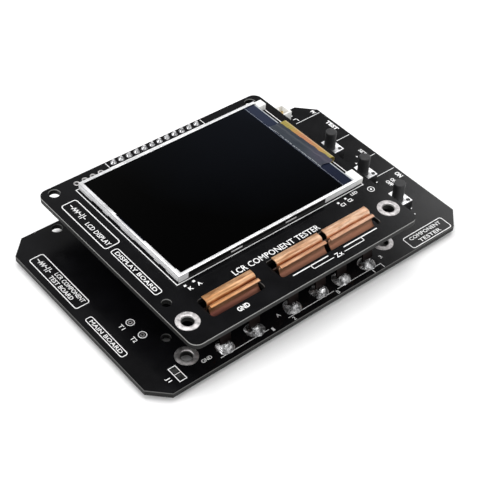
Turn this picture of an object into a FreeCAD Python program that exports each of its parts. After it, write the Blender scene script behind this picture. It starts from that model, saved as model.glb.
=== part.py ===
import FreeCAD, Part
import math
import os
import Sketcher

# Component tester: a main board with spring test clips and push switches, and a display board
# that plugs on above it. Millimetres, +Z up, origin at the bottom centre of the whole object.

SIZES = {
    "board_length": 105.0, "board_width": 65.0, "board_thickness": 1.6, "board_chamfer": 4.8,
    "tail_length": 1.4, "board_gap": 10.6, "strip_height": 2.5,
    "hole_left": -38.2, "hole_right": 27.5, "hole_front": -25.3, "hole_back": 30.3,
    "hole_radius": 1.6, "peg_hole_across": -38.6, "peg_hole_depth": -17.7, "peg_hole_radius": 1.3,
    "ring_radius": 3.0, "ring_thickness": 0.05,
    "display_left": -42.0, "display_right": 31.5, "display_width": 65.4, "display_corner": 2.5,
    "slot_front": -28.0, "slot_back": -21.3, "slot_corner": 1.0,
    "ground_slot_left": -32.7, "ground_slot_right": -16.4,
    "input_slot_left": -11.3, "input_slot_right": 22.4,
    "clip_width": 15.0, "leaf_thickness": 0.4, "leg_width": 3.4, "leg_offset": 4.6,
    "leg_top": 8.4, "leg_foot": 1.65, "pinch_depth": -24.85, "pinch_gap": 0.15,
    "front_foot": -28.6, "back_foot": -21.1, "tab_width": 1.2,
    "header_depth": 31.4, "header_middle": -4.95, "pin_pitch": 2.54, "pin_side": 0.64,
    "pin_hole_radius": 0.5,
    "switch_across": 40.1, "switch_side": 6.0, "switch_height": 3.2, "cover_thickness": 0.3,
    "switch_front_depth": -17.7, "switch_middle_depth": -4.1, "switch_back_depth": 9.5,
    "stem_radius": 1.6, "stem_top": 9.2, "stem_clearance": 0.08, "rivet_offset": 2.1,
    "flange_radius": 2.15, "dome_radius": 2.0, "dome_height": 0.6, "switch_floor": 1.0,
    "screen_left": -32.35, "screen_right": 26.5, "screen_front": -14.4, "screen_back": 27.9,
    "screen_lift": 0.1, "screen_height": 2.2, "frame_sheet": 0.25, "frame_rim": 0.9,
    "screen_end": 28.9, "glass_end": 26.0, "front_glass_end": 22.5,
    "backlight_height": 1.2, "rear_glass_top": 1.7, "driver_chip_height": 0.3,
    "film_front": -4.2, "film_back": 16.5, "flex_width": 19.5, "flex_back": 16.5, "flex_fold": 28.1,
    "connector_across": 39.3, "connector_depth": 30.2, "connector_length": 5.8, "connector_width": 4.4,
    "connector_height": 3.8, "connector_pitch": 2.0, "connector_wall": 0.6,
    "spare_hole_left": -31.4, "spare_hole_depth": 30.1,
}

PIN_COUNT = 12
SPARE_HOLES = 4
CLIPS = {"ground": -24.45, "left": -2.7, "right": 13.8}
SWITCHES = ("front", "middle", "back")
SWITCH_LEG_ACROSS = 3.25
SWITCH_LEG_DEPTH = 2.25


class Size:
    """A length held both as expression text for the document and as a number."""

    def __init__(self, text, number):
        self.text = text
        self.number = number

    def combine(self, sign, other, number):
        return Size(f"({self.text} {sign} {as_size(other).text})", number)

    def __add__(self, other):
        return self.combine("+", other, self.number + as_size(other).number)

    def __sub__(self, other):
        return self.combine("-", other, self.number - as_size(other).number)

    def __mul__(self, other):
        return self.combine("*", other, self.number * as_size(other).number)

    def __truediv__(self, other):
        return self.combine("/", other, self.number / as_size(other).number)

    def __neg__(self):
        return Size(f"(0 - {self.text})", -self.number)

    __radd__ = __add__


def as_size(value):
    return value if isinstance(value, Size) else Size(f"({float(value)})", float(value))


def fill_sheet(document):
    sheet = document.addObject("Spreadsheet::Sheet", "sizes")
    for row, (alias, number) in enumerate(SIZES.items(), start=1):
        sheet.set(f"A{row}", alias)
        sheet.set(f"B{row}", str(number))
        sheet.setAlias(f"B{row}", alias)
    document.recompute()
    return {alias: Size(f"sizes.{alias}", float(sheet.get(alias))) for alias in SIZES}


doc = FreeCAD.newDocument("component_tester")
size = fill_sheet(doc)

deck = size["tail_length"] + size["board_thickness"]
display_bottom = deck + size["board_gap"]
display_top = display_bottom + size["board_thickness"]
screen_bottom = display_top + size["screen_lift"]
screen_top = screen_bottom + size["screen_height"]
strip_bottom = display_bottom - size["strip_height"]

parts = []


# --- building helpers -------------------------------------------------------------------------

def keep(solid, name):
    """Name a finished sub-part and list it for export."""
    solid.Label = name
    parts.append(solid)
    return solid


def bind(target, path, length):
    target.setExpression(path, as_size(length).text)


def place(target, corner):
    for axis, length in zip("xyz", corner):
        bind(target, f".Placement.Base.{axis}", length)


def box(low, high, name="block"):
    """Box between two corners."""
    solid = doc.addObject("Part::Box", name)
    for prop, start, end in zip(("Length", "Width", "Height"), low, high):
        bind(solid, prop, as_size(end) - start)
    place(solid, low)
    return solid


def block(centre, extent, bottom, top):
    """Box on a centre in plan, between two heights."""
    low = [as_size(middle) - as_size(side) / 2 for middle, side in zip(centre, extent)]
    high = [as_size(middle) + as_size(side) / 2 for middle, side in zip(centre, extent)]
    return box(low + [bottom], high + [top])


def post(centre, bottom, top, radius):
    """Upright cylinder."""
    solid = doc.addObject("Part::Cylinder", "post")
    bind(solid, "Radius", radius)
    bind(solid, "Height", as_size(top) - bottom)
    place(solid, (centre[0], centre[1], bottom))
    return solid


def cone(centre, bottom, top, bottom_radius, top_radius):
    solid = doc.addObject("Part::Cone", "cone")
    bind(solid, "Radius1", bottom_radius)
    bind(solid, "Radius2", top_radius)
    bind(solid, "Height", as_size(top) - bottom)
    place(solid, (centre[0], centre[1], bottom))
    return solid


def fuse(solids):
    joined = doc.addObject("Part::MultiFuse", "joined")
    joined.Shapes = solids
    return joined


def cut(base, tools):
    tool = tools[0] if len(tools) == 1 else fuse(tools)
    result = doc.addObject("Part::Cut", "trimmed")
    result.Base = base
    result.Tool = tool
    return result


def cluster(solids):
    """Separate solids that share one node."""
    result = doc.addObject("Part::Compound", "cluster")
    result.Links = solids
    return result


def new_body(name):
    body = doc.addObject("PartDesign::Body", name)
    return keep(body, name)


def new_sketch(body, name, role="XY_Plane", offset=0):
    drawing = body.newObject("Sketcher::SketchObject", name)
    plane = next(item for item in body.Origin.OriginFeatures if item.Role == role)
    drawing.AttachmentSupport = (plane, "")
    drawing.MapMode = "FlatFace"
    bind(drawing, ".AttachmentOffset.Base.z", offset)
    return drawing


def fix_point(drawing, element, end, point):
    for kind, length in zip(("DistanceX", "DistanceY"), point):
        number = drawing.addConstraint(Sketcher.Constraint(kind, element, end, as_size(length).number))
        bind(drawing, f"Constraints[{number}]", length)


def draw_polygon(drawing, points):
    first = drawing.GeometryCount
    count = len(points)
    corners = [FreeCAD.Vector(as_size(x).number, as_size(y).number, 0) for x, y in points]
    for index in range(count):
        drawing.addGeometry(Part.LineSegment(corners[index], corners[(index + 1) % count]), False)
    for index in range(count):
        following = first + (index + 1) % count
        drawing.addConstraint(Sketcher.Constraint("Coincident", first + index, 2, following, 1))
    for index, point in enumerate(points):
        fix_point(drawing, first + index, 1, point)


def draw_rectangle(drawing, left, right, front, back):
    draw_polygon(drawing, [(left, front), (right, front), (right, back), (left, back)])


def draw_circle(drawing, centre, radius):
    middle = FreeCAD.Vector(as_size(centre[0]).number, as_size(centre[1]).number, 0)
    element = drawing.addGeometry(Part.Circle(middle, FreeCAD.Vector(0, 0, 1), as_size(radius).number))
    fix_point(drawing, element, 3, centre)
    number = drawing.addConstraint(Sketcher.Constraint("Radius", element, as_size(radius).number))
    bind(drawing, f"Constraints[{number}]", radius)


def pad(body, drawing, length):
    feature = body.newObject("PartDesign::Pad", "pad")
    feature.Profile = drawing
    bind(feature, "Length", length)
    body.Tip = feature
    return feature


def pocket_up(body, drawing, length):
    """Cut from the sketch upwards."""
    feature = body.newObject("PartDesign::Pocket", "pocket")
    feature.Profile = drawing
    feature.Reversed = True
    bind(feature, "Length", length)
    body.Tip = feature
    doc.recompute()
    if feature.Shape.Volume >= feature.BaseFeature.Shape.Volume - 1e-3:
        raise RuntimeError(f"{body.Label}: a pocket cuts nothing")
    return feature


def round_uprights(body, base, radius, wanted):
    """Round the upright edges whose middle passes the test."""
    doc.recompute()
    names = []
    for number, edge in enumerate(base.Shape.Edges, start=1):
        ends = [vertex.Point for vertex in edge.Vertexes]
        straight = len(ends) == 2 and abs(ends[0].x - ends[1].x) + abs(ends[0].y - ends[1].y) < 1e-6
        if straight and wanted(edge.CenterOfMass):
            names.append(f"Edge{number}")
    feature = body.newObject("PartDesign::Fillet", "round")
    feature.Base = (base, names)
    bind(feature, "Radius", radius)
    body.Tip = feature
    return feature


def mounting_holes():
    across = (size["hole_left"], size["hole_right"])
    depth = (size["hole_front"], size["hole_back"])
    return [(x, y) for x in across for y in depth]


def header_places():
    first = size["header_middle"] - size["pin_pitch"] * ((PIN_COUNT - 1) / 2)
    return [(first + size["pin_pitch"] * index, size["header_depth"]) for index in range(PIN_COUNT)]


def tab_places():
    """The clip tabs: two under each leaf."""
    places = []
    for middle in CLIPS.values():
        for foot in ("front_foot", "back_foot"):
            for side in (-1, 1):
                places.append((size["leg_offset"] * side + middle, size[foot]))
    return places


def switch_leg_places():
    places = []
    for name in SWITCHES:
        for side in (-1, 1):
            for end in (-1, 1):
                across = size["switch_across"] + SWITCH_LEG_ACROSS * side
                depth = size[f"switch_{name}_depth"] + SWITCH_LEG_DEPTH * end
                places.append((across, depth))
    return places


def connector_places():
    half = size["connector_pitch"] / 2
    return [(half * side + size["connector_across"], size["connector_depth"]) for side in (-1, 1)]


def spare_places():
    """Unused header holes at the back left of the display board."""
    return [(size["spare_hole_left"] + size["pin_pitch"] * index, size["spare_hole_depth"])
            for index in range(SPARE_HOLES)]


# --- boards -----------------------------------------------------------------------------------

def make_main_board():
    body = new_body("main_board")
    bind(body, ".Placement.Base.z", size["tail_length"])
    across = size["board_length"] / 2
    depth = size["board_width"] / 2
    corner = size["board_chamfer"]
    outline = new_sketch(body, "main_outline")
    draw_polygon(outline, [
        (-across + corner, -depth), (across - corner, -depth), (across, -depth + corner),
        (across, depth - corner), (across - corner, depth), (-across + corner, depth),
        (-across, depth - corner), (-across, -depth + corner)])
    pad(body, outline, size["board_thickness"])
    holes = new_sketch(body, "main_holes")
    for centre in mounting_holes():
        draw_circle(holes, centre, size["hole_radius"])
    draw_circle(holes, (size["peg_hole_across"], size["peg_hole_depth"]), size["peg_hole_radius"])
    for centre in header_places() + switch_leg_places() + connector_places():
        draw_circle(holes, centre, size["pin_hole_radius"])
    for centre in tab_places():
        draw_circle(holes, centre, size["tab_width"] / 2 + 0.1)
    pocket_up(body, holes, size["board_thickness"])


def make_display_board():
    body = new_body("display_board")
    bind(body, ".Placement.Base.z", display_bottom)
    depth = size["display_width"] / 2
    outline = new_sketch(body, "display_outline")
    draw_rectangle(outline, size["display_left"], size["display_right"], -depth, depth)
    slab = pad(body, outline, size["board_thickness"])
    rounded = round_uprights(body, slab, size["display_corner"], lambda middle: True)
    doc.recompute()
    slots = new_sketch(body, "display_slots")
    for name in ("ground", "input"):
        left, right = size[f"{name}_slot_left"], size[f"{name}_slot_right"]
        draw_rectangle(slots, left, right, size["slot_front"], size["slot_back"])
    slotted = pocket_up(body, slots, size["board_thickness"])
    edge = size["display_left"].number + 3.0
    round_uprights(body, slotted, size["slot_corner"],
                   lambda middle: middle.y < -20.0 and middle.y > -30.0 and middle.x > edge)
    holes = new_sketch(body, "display_holes")
    for centre in mounting_holes():
        draw_circle(holes, centre, size["hole_radius"])
    draw_circle(holes, (size["peg_hole_across"], size["peg_hole_depth"]), size["peg_hole_radius"])
    for centre in header_places() + spare_places():
        draw_circle(holes, centre, size["pin_hole_radius"])
    pocket_up(body, holes, size["board_thickness"])


def make_rings(name, bottom, top):
    """Plated rings round the two front mounting holes, on both faces of a board."""
    rings = []
    for across in (size["hole_left"], size["hole_right"]):
        centre = (across, size["hole_front"])
        for low in (bottom - size["ring_thickness"], top):
            high = low + size["ring_thickness"]
            disc = post(centre, low, high, size["ring_radius"])
            rings.append(cut(disc, [post(centre, low, high, size["hole_radius"] + 0.05)]))
    keep(cluster(rings), name)


# --- header and socket ------------------------------------------------------------------------

def make_socket():
    half = PIN_COUNT / 2
    length = size["pin_pitch"] * half
    middle = size["header_middle"]
    depth = size["header_depth"]
    housing = box((middle - length, depth - 1.25, deck), (middle + length, depth + 1.25, strip_bottom))
    wells = [block(centre, (1.4, 1.4), deck, strip_bottom) for centre in header_places()]
    keep(cut(housing, wells), "socket_housing")
    contacts = []
    gap = size["pin_side"] + 0.06
    for centre in header_places():
        barrel = block(centre, (1.36, 1.36), deck + 0.3, strip_bottom - 0.4)
        bore = block(centre, (gap, gap), deck + 1.5, strip_bottom - 0.4)
        tail = block(centre, (size["pin_side"], size["pin_side"]), 0, deck + 0.3)
        contacts.append(fuse([cut(barrel, [bore]), tail]))
    keep(cluster(contacts), "socket_contacts")


def make_header():
    length = size["pin_pitch"] * (PIN_COUNT / 2)
    middle = size["header_middle"]
    depth = size["header_depth"]
    side = size["pin_side"]
    strip = box((middle - length, depth - 1.25, strip_bottom), (middle + length, depth + 1.25, display_bottom))
    keep(cut(strip, [block(centre, (side, side), strip_bottom, display_bottom) for centre in header_places()]),
         "header_strip")
    pins = [block(centre, (side, side), strip_bottom - 5.6, display_top + 0.9) for centre in header_places()]
    keep(cluster(pins), "header_pins")
    joints = []
    for centre in header_places():
        fillet = cone(centre, display_top, display_top + 0.6, 0.85, 0.5)
        barrel = post(centre, display_bottom, display_top, size["pin_hole_radius"])
        pin = block(centre, (side, side), display_bottom, display_top + 0.6)
        joints.append(cut(fuse([fillet, barrel]), [pin]))
    keep(cluster(joints), "header_solder_joints")


# --- solder under the main board --------------------------------------------------------------

def make_board_solder():
    """Filled holes with a fillet underneath, round the socket, switch and connector pins."""
    joints = []
    side = size["pin_side"]
    for centre in header_places() + switch_leg_places() + connector_places():
        fillet = cone(centre, size["tail_length"] - 0.8, size["tail_length"], 0.5, 0.9)
        barrel = post(centre, size["tail_length"], deck, size["pin_hole_radius"])
        hole = block(centre, (side, side), size["tail_length"] - 0.8, deck)
        joints.append(cut(fuse([fillet, barrel]), [hole]))
    keep(cluster(joints), "board_solder_joints")


def make_clip_tabs():
    """Tabs of the clip leaves, and the solder round them on both faces of the board."""
    tabs = []
    joints = []
    radius = size["tab_width"] / 2 + 0.1
    foot = deck + size["leg_foot"]
    for centre in tab_places():
        extent = (size["tab_width"], size["leaf_thickness"])
        tabs.append(block(centre, extent, 0, foot - 0.06))
        upper = cone(centre, deck, foot - 0.3, 1.9, 0.9)
        lower = cone(centre, size["tail_length"] - 0.9, size["tail_length"], 0.8, 1.4)
        barrel = post(centre, size["tail_length"], deck, radius)
        joints.append(cut(fuse([upper, lower, barrel]), [block(centre, extent, 0, foot)]))
    keep(cluster(tabs), "clip_tabs")
    keep(cluster(joints), "clip_solder_joints")


# --- test clips -------------------------------------------------------------------------------

def rounded_path(points, radius):
    """A line through points in the YZ plane, with an arc at each inner point."""
    places = [FreeCAD.Vector(0, y, z) for y, z in points]
    edges = []
    start = places[0]
    for before, corner, after in zip(places, places[1:], places[2:]):
        inward = (before - corner).normalize()
        onward = (after - corner).normalize()
        half_angle = inward.getAngle(onward) / 2
        reach = radius / math.tan(half_angle)
        bisector = (inward + onward).normalize()
        centre = corner + bisector * (radius / math.sin(half_angle))
        first = corner + inward * reach
        last = corner + onward * reach
        edges.append(Part.LineSegment(start, first).toShape())
        edges.append(Part.Arc(first, centre - bisector * radius, last).toShape())
        start = last
    edges.append(Part.LineSegment(start, places[-1]).toShape())
    return Part.Wire(edges)


def bent_sheet(path, thickness, width):
    """Sheet of one thickness that follows a path in the YZ plane, from X = 0 to its width."""
    outer = path.makeOffset2D(thickness / 2, join=0, openResult=True)
    inner = path.makeOffset2D(-thickness / 2, join=0, openResult=True)
    ends = []
    for index in (0, -1):
        near = outer.OrderedVertexes[index].Point
        far = min((vertex.Point for vertex in (inner.OrderedVertexes[0], inner.OrderedVertexes[-1])),
                  key=lambda point: point.distanceToPoint(near))
        ends.append(Part.LineSegment(near, far).toShape())
    section = Part.Face(Part.Wire(Part.__sortEdges__(outer.Edges + inner.Edges + ends)))
    return section.extrude(FreeCAD.Vector(width, 0, 0))


def make_leaf(name, middle, profile, foot_depth, bend_radius):
    """A clip leaf: a full-width bent mouth above two narrow legs."""
    level = deck.number
    foot = level + size["leg_foot"].number
    legs_top = level + size["leg_top"].number
    width = size["clip_width"].number
    points = [(foot_depth, foot)] + [(y, level + z) for y, z in profile]
    solid = bent_sheet(rounded_path(points, bend_radius), size["leaf_thickness"].number, width)
    leg_half = size["leg_width"].number / 2
    left_leg = width / 2 - size["leg_offset"].number
    right_leg = width / 2 + size["leg_offset"].number
    gaps = [(-1.0, left_leg - leg_half), (left_leg + leg_half, right_leg - leg_half),
            (right_leg + leg_half, width + 1.0)]
    for left, right in gaps:
        gap = Part.makeBox(right - left, 20.0, legs_top - foot + 2.0)
        gap.translate(FreeCAD.Vector(left, foot_depth - 10.0, foot - 2.0))
        solid = solid.cut(gap)
    leaf = doc.addObject("Part::Feature", name)
    leaf.Shape = solid
    leaf.Placement = FreeCAD.Placement(FreeCAD.Vector(middle - width / 2, 0, 0), FreeCAD.Rotation())
    keep(leaf, name)


def make_clips():
    pinch = size["pinch_depth"].number
    half_gap = (size["pinch_gap"].number + size["leaf_thickness"].number) / 2
    front = [(-27.3, 9.9), (-25.8, 10.85), (pinch - half_gap, 12.6), (-26.25, 13.35)]
    back = [(-22.6, 9.9), (-24.0, 10.85), (pinch + half_gap, 12.6), (-22.35, 13.9)]
    for name, middle in CLIPS.items():
        make_leaf(f"{name}_clip_front_leaf", middle, front, size["front_foot"].number, 0.7)
        make_leaf(f"{name}_clip_back_leaf", middle, back, size["back_foot"].number, 0.7)


# --- push switches ----------------------------------------------------------------------------

def make_switch(name):
    across = size["switch_across"]
    depth = size[f"switch_{name}_depth"]
    centre = (across, depth)
    side = size["switch_side"]
    top = deck + size["switch_height"]
    cover_top = top + size["cover_thickness"]
    floor = deck + size["switch_floor"]
    corners = [(across + size["rivet_offset"] * i, depth + size["rivet_offset"] * j)
               for i in (-1, 1) for j in (-1, 1)]

    well = post(centre, floor, top, size["flange_radius"] + 0.15)
    shell = cut(block(centre, (side, side), deck, top), [well])
    rivets = [post(corner, top, cover_top, 0.4) for corner in corners]
    heads = [cone(corner, cover_top, cover_top + 0.15, 0.6, 0.4) for corner in corners]
    keep(fuse([shell] + rivets + heads), f"switch_{name}_housing")

    plate = block(centre, (side - 0.1, side - 0.1), top, cover_top)
    holes = [post(corner, top, cover_top, 0.4) for corner in corners]
    holes.append(post(centre, top, cover_top, size["stem_radius"] + size["stem_clearance"]))
    keep(cut(plate, holes), f"switch_{name}_cover")

    legs = []
    for i in (-1, 1):
        for j in (-1, 1):
            leg = (across + SWITCH_LEG_ACROSS * i, depth + SWITCH_LEG_DEPTH * j)
            legs.append(block(leg, (0.3, 0.6), 0, deck + 1.4))
    keep(cluster(legs), f"switch_{name}_terminals")

    dome = doc.addObject("Part::Cone", "dome")
    bind(dome, "Radius1", size["dome_radius"])
    bind(dome, "Radius2", size["dome_radius"] * 0.45)
    bind(dome, "Height", size["dome_height"])
    place(dome, (across, depth, floor))
    keep(dome, f"switch_{name}_dome")

    make_stem(name, floor, top, depth)


def make_stem(name, floor, top, depth):
    """Turned stem with a flange that the cover holds down and a nub over the dome."""
    body = new_body(f"switch_{name}_stem")
    place(body, (size["switch_across"], depth, 0))
    drawing = new_sketch(body, f"stem_{name}_profile", "XZ_Plane")
    nub = floor + size["dome_height"] + 0.03
    flange_low = nub + 0.35
    flange_high = top - 0.04
    tip = deck + size["stem_top"]
    radius = size["stem_radius"]
    draw_polygon(drawing, [
        (0, nub), (0.8, nub), (0.8, flange_low), (size["flange_radius"], flange_low),
        (size["flange_radius"], flange_high), (radius, flange_high), (radius, tip - 0.2),
        (radius - 0.2, tip), (0, tip)])
    turned = body.newObject("PartDesign::Revolution", f"stem_{name}_turned")
    turned.Profile = drawing
    turned.ReferenceAxis = (drawing, ["V_Axis"])
    turned.Angle = 360.0
    body.Tip = turned


# --- power connector --------------------------------------------------------------------------

def make_power_connector():
    """Two-pin header in an open-topped shroud, with two keying slots in its back wall."""
    centre = (size["connector_across"], size["connector_depth"])
    length, width = size["connector_length"], size["connector_width"]
    wall = size["connector_wall"]
    floor = deck + 1.0
    top = deck + size["connector_height"]
    side = size["pin_side"]
    shroud = block(centre, (length, width), deck, top)
    cavity = block(centre, (length - wall * 2, width - wall * 2), floor, top)
    back_wall = centre[1] + width / 2 - wall / 2
    notches = [block((centre[0] + across, back_wall), (0.6, wall), deck + 2.0, top) for across in (-1.1, 1.1)]
    holes = [block(pin, (side, side), deck, floor) for pin in connector_places()]
    keep(cut(shroud, [cavity] + notches + holes), "power_connector_housing")
    pins = [block(pin, (side, side), 0, top - 0.6) for pin in connector_places()]
    keep(cluster(pins), "power_connector_pins")


# --- chips on the main board ------------------------------------------------------------------

def lead_row(count, pitch, inner, outer, lift, width):
    """Gull-wing leads that step down from a chip's side to the board, along +Y from it."""
    thick = 0.15
    profile = [(inner, lift), (inner + 0.3, lift), (inner + 0.45, thick), (outer, thick), (outer, 0.0),
               (inner + 0.32, 0.0), (inner + 0.2, lift - thick), (inner, lift - thick)]
    corners = [FreeCAD.Vector(0, y, z) for y, z in profile]
    face = Part.Face(Part.makePolygon(corners + corners[:1]))
    lead = face.extrude(FreeCAD.Vector(width, 0, 0))
    leads = []
    for index in range(count):
        copy = lead.copy()
        copy.translate(FreeCAD.Vector((index - (count - 1) / 2) * pitch - width / 2, 0, 0))
        leads.append(copy)
    return leads


def make_leads(name, centres, count, pitch, inner, outer, lift, width, turns):
    """Rows of leads round one chip or several."""
    solids = []
    for centre in centres:
        for turn in turns:
            for lead in lead_row(count, pitch, inner, outer, lift, width):
                lead.rotate(FreeCAD.Vector(0, 0, 0), FreeCAD.Vector(0, 0, 1), turn)
                lead.translate(FreeCAD.Vector(centre[0], centre[1], deck.number))
                solids.append(lead)
    leads = doc.addObject("Part::Feature", name)
    leads.Shape = Part.makeCompound(solids)
    leads.Placement = FreeCAD.Placement()
    keep(leads, name)


def make_chips():
    processor = (-8.0, 6.0)
    keep(block(processor, (7.0, 7.0), deck + 0.1, deck + 1.5), "microcontroller")
    make_leads("microcontroller_leads", [processor], 12, 0.5, 3.5, 4.5, 0.8, 0.22, (0, 90, 180, 270))
    amplifiers = [(10.0, -10.0), (20.0, -10.0)]
    keep(cluster([block(centre, (4.9, 3.9), deck + 0.1, deck + 1.6) for centre in amplifiers]), "op_amps")
    make_leads("op_amp_leads", amplifiers, 4, 1.27, 1.95, 3.0, 0.85, 0.4, (0, 180))
    selector = (-8.0, -12.0)
    keep(block(selector, (9.9, 3.9), deck + 0.1, deck + 1.6), "analogue_switch")
    make_leads("analogue_switch_leads", [selector], 8, 1.27, 1.95, 3.0, 0.85, 0.4, (0, 180))
    keep(block((-19.0, 8.0), (5.0, 3.2), deck, deck + 1.1), "crystal")
    keep(block((38.5, 20.0), (4.5, 2.5), deck, deck + 1.5), "voltage_regulator")
    coil_centre = (31.0, 22.0)
    coil = fuse([block(coil_centre, (5.0, 5.0), deck, deck + 0.4),
                 post(coil_centre, deck + 0.4, deck + 1.9, 2.3)])
    keep(coil, "power_inductor")


def make_chip_capacitors():
    solids = []
    for across in (-15.0, -1.5, 5.0, 11.5, 18.0, 24.5):
        for depth in (14.5, -3.5):
            solids.append(block((across, depth), (2.0, 1.25), deck, deck + 0.9))
    keep(cluster(solids), "ceramic_capacitors")


def make_chip_resistors():
    solids = []
    for across in (-34.0, -30.0, -26.0, -22.0, 6.0, 10.0, 14.0, 18.0):
        for depth in (1.5, 19.0):
            solids.append(block((across, depth), (1.6, 0.8), deck, deck + 0.45))
    keep(cluster(solids), "resistors")


# --- display module ---------------------------------------------------------------------------

def make_screen_frame():
    """Sheet metal frame, open on the right where the flex cable leaves."""
    body = new_body("screen_frame")
    bind(body, ".Placement.Base.z", screen_bottom)
    left, right = size["screen_left"], size["screen_right"]
    front, back = size["screen_front"], size["screen_back"]
    sheet_size, rim = size["frame_sheet"], size["frame_rim"]
    outline = new_sketch(body, "frame_outline")
    draw_rectangle(outline, left, right, front, back)
    pad(body, outline, size["screen_height"])
    inside = new_sketch(body, "frame_inside")
    draw_rectangle(inside, left + sheet_size, right + 1.0, front + sheet_size, back - sheet_size)
    pocket_up(body, inside, size["screen_height"] - sheet_size)
    window = new_sketch(body, "frame_window")
    draw_rectangle(window, left + rim, right + 1.0, front + rim, back - rim)
    pocket_up(body, window, size["screen_height"] + 0.5)


def make_screen_backlight():
    """White moulded frame of the backlight, with an end post at each right corner."""
    gap = size["frame_sheet"] + 0.05
    left = size["screen_left"] + gap
    front = size["screen_front"] + gap
    back = size["screen_back"] - gap
    level = screen_bottom + size["backlight_height"]
    slab = box((left, front, screen_bottom), (size["screen_right"] - 0.1, back, level))
    start = size["screen_right"] - 0.1
    posts = [box((start, first, screen_bottom), (size["screen_end"], last, screen_top - 0.3))
             for first, last in ((front, front + 4.3), (back - 2.4, back))]
    keep(fuse([slab] + posts), "screen_backlight")


def make_screen_glass():
    gap = size["frame_sheet"] + 0.2
    left = size["screen_left"] + gap
    front = size["screen_front"] + gap
    back = size["screen_back"] - gap
    rear_bottom = screen_bottom + size["backlight_height"]
    rear_top = screen_bottom + size["rear_glass_top"]
    front_top = screen_top - size["frame_sheet"]
    keep(box((left, front, rear_bottom), (size["glass_end"], back, rear_top)), "screen_rear_glass")
    keep(box((left, front, rear_top), (size["front_glass_end"], back, front_top)), "screen_front_glass")
    rim = size["frame_rim"] + 0.05
    low = (size["screen_left"] + rim, size["screen_front"] + rim, front_top)
    high = (size["front_glass_end"] - 0.4, size["screen_back"] - rim, screen_top - 0.1)
    keep(box(low, high), "screen_polariser")
    chip_top = rear_top + size["driver_chip_height"]
    keep(box((23.5, -1.5, rear_top), (24.8, 14.5, chip_top)), "screen_driver_chip")
    film_low = (size["front_glass_end"] + 0.05, size["film_front"], chip_top)
    film_high = (size["glass_end"] + 0.4, size["film_back"], chip_top + 0.06)
    keep(box(film_low, film_high), "screen_chip_film")


def make_screen_flex():
    """Flex cable that leaves the glass ledge and folds round under the module."""
    thickness = 0.08
    upper = screen_bottom.number + size["rear_glass_top"].number + thickness / 2
    lower = display_top.number + 0.01 + thickness / 2
    radius = (upper - lower) / 2
    fold = size["flex_fold"].number
    middle = (upper + lower) / 2
    top_run = Part.LineSegment(FreeCAD.Vector(0, 25.0, upper), FreeCAD.Vector(0, fold, upper)).toShape()
    bend = Part.Arc(FreeCAD.Vector(0, fold, upper), FreeCAD.Vector(0, fold + radius, middle),
                    FreeCAD.Vector(0, fold, lower)).toShape()
    low_run = Part.LineSegment(FreeCAD.Vector(0, fold, lower), FreeCAD.Vector(0, 14.0, lower)).toShape()
    flex = doc.addObject("Part::Feature", "screen_flex_cable")
    flex.Shape = bent_sheet(Part.Wire([top_run, bend, low_run]), thickness, size["flex_width"].number)
    quarter_turn = FreeCAD.Rotation(FreeCAD.Vector(0, 0, 1), -90)
    flex.Placement = FreeCAD.Placement(FreeCAD.Vector(0, size["flex_back"].number, 0), quarter_turn)
    keep(flex, "screen_flex_cable")


def make_screen_tape():
    low = (size["screen_left"] + 3.0, size["screen_front"] + 3.0, display_top)
    high = (13.0, size["screen_back"] - 3.0, screen_bottom)
    keep(box(low, high), "screen_tape")


# --- build and export -------------------------------------------------------------------------

def export_parts():
    doc.recompute()
    for item in doc.Objects:
        if "Invalid" in item.State or "Error" in item.State:
            raise RuntimeError(f"{item.Label} failed: {item.State}")
    os.makedirs("parts", exist_ok=True)
    for item in parts:
        if item.Shape.isNull() or not item.Shape.isValid():
            raise RuntimeError(f"{item.Label} has a bad shape")
        item.Shape.exportStep(os.path.join("parts", f"{item.Label}.step"))


make_main_board()
make_display_board()
make_rings("main_board_rings", size["tail_length"], deck)
make_rings("display_board_rings", display_bottom, display_top)
make_socket()
make_header()
make_board_solder()
make_clip_tabs()
make_clips()
for switch in SWITCHES:
    make_switch(switch)
make_power_connector()
make_chips()
make_chip_capacitors()
make_chip_resistors()
make_screen_frame()
make_screen_backlight()
make_screen_glass()
make_screen_flex()
make_screen_tape()
export_parts()
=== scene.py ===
import bmesh
import bpy
import math
from mathutils import Matrix, Vector, noise


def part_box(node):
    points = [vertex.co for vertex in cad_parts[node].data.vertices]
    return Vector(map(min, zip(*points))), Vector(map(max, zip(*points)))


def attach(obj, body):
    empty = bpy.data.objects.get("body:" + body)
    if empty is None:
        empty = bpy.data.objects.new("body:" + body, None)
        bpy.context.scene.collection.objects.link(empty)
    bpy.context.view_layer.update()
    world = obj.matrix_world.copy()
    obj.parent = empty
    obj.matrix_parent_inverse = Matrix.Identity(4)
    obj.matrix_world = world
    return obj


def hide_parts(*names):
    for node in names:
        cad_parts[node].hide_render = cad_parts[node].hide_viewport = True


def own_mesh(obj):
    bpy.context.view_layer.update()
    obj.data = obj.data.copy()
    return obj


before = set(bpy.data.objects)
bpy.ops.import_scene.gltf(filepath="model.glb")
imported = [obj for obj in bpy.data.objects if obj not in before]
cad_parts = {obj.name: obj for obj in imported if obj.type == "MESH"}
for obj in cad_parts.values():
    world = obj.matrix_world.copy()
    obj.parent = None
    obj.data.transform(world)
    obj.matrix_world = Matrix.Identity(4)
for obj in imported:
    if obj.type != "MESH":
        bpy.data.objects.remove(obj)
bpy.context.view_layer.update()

# Shapes and places are in millimetres in the part's own frame, and a piece is scaled to metres when it is made.
# Lights are placed and sized in metres, and the scales and bump distances of materials are for metres too.
MM = 0.001
INK = 0.02
PIN_PITCH = 2.54
PIN_LETTERS = "GVCRDSMWLKXY"
TEST_POINTS = (("T1", (-42.55, -8.5)), ("T2", (-42.55, -13.55)))

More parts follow.
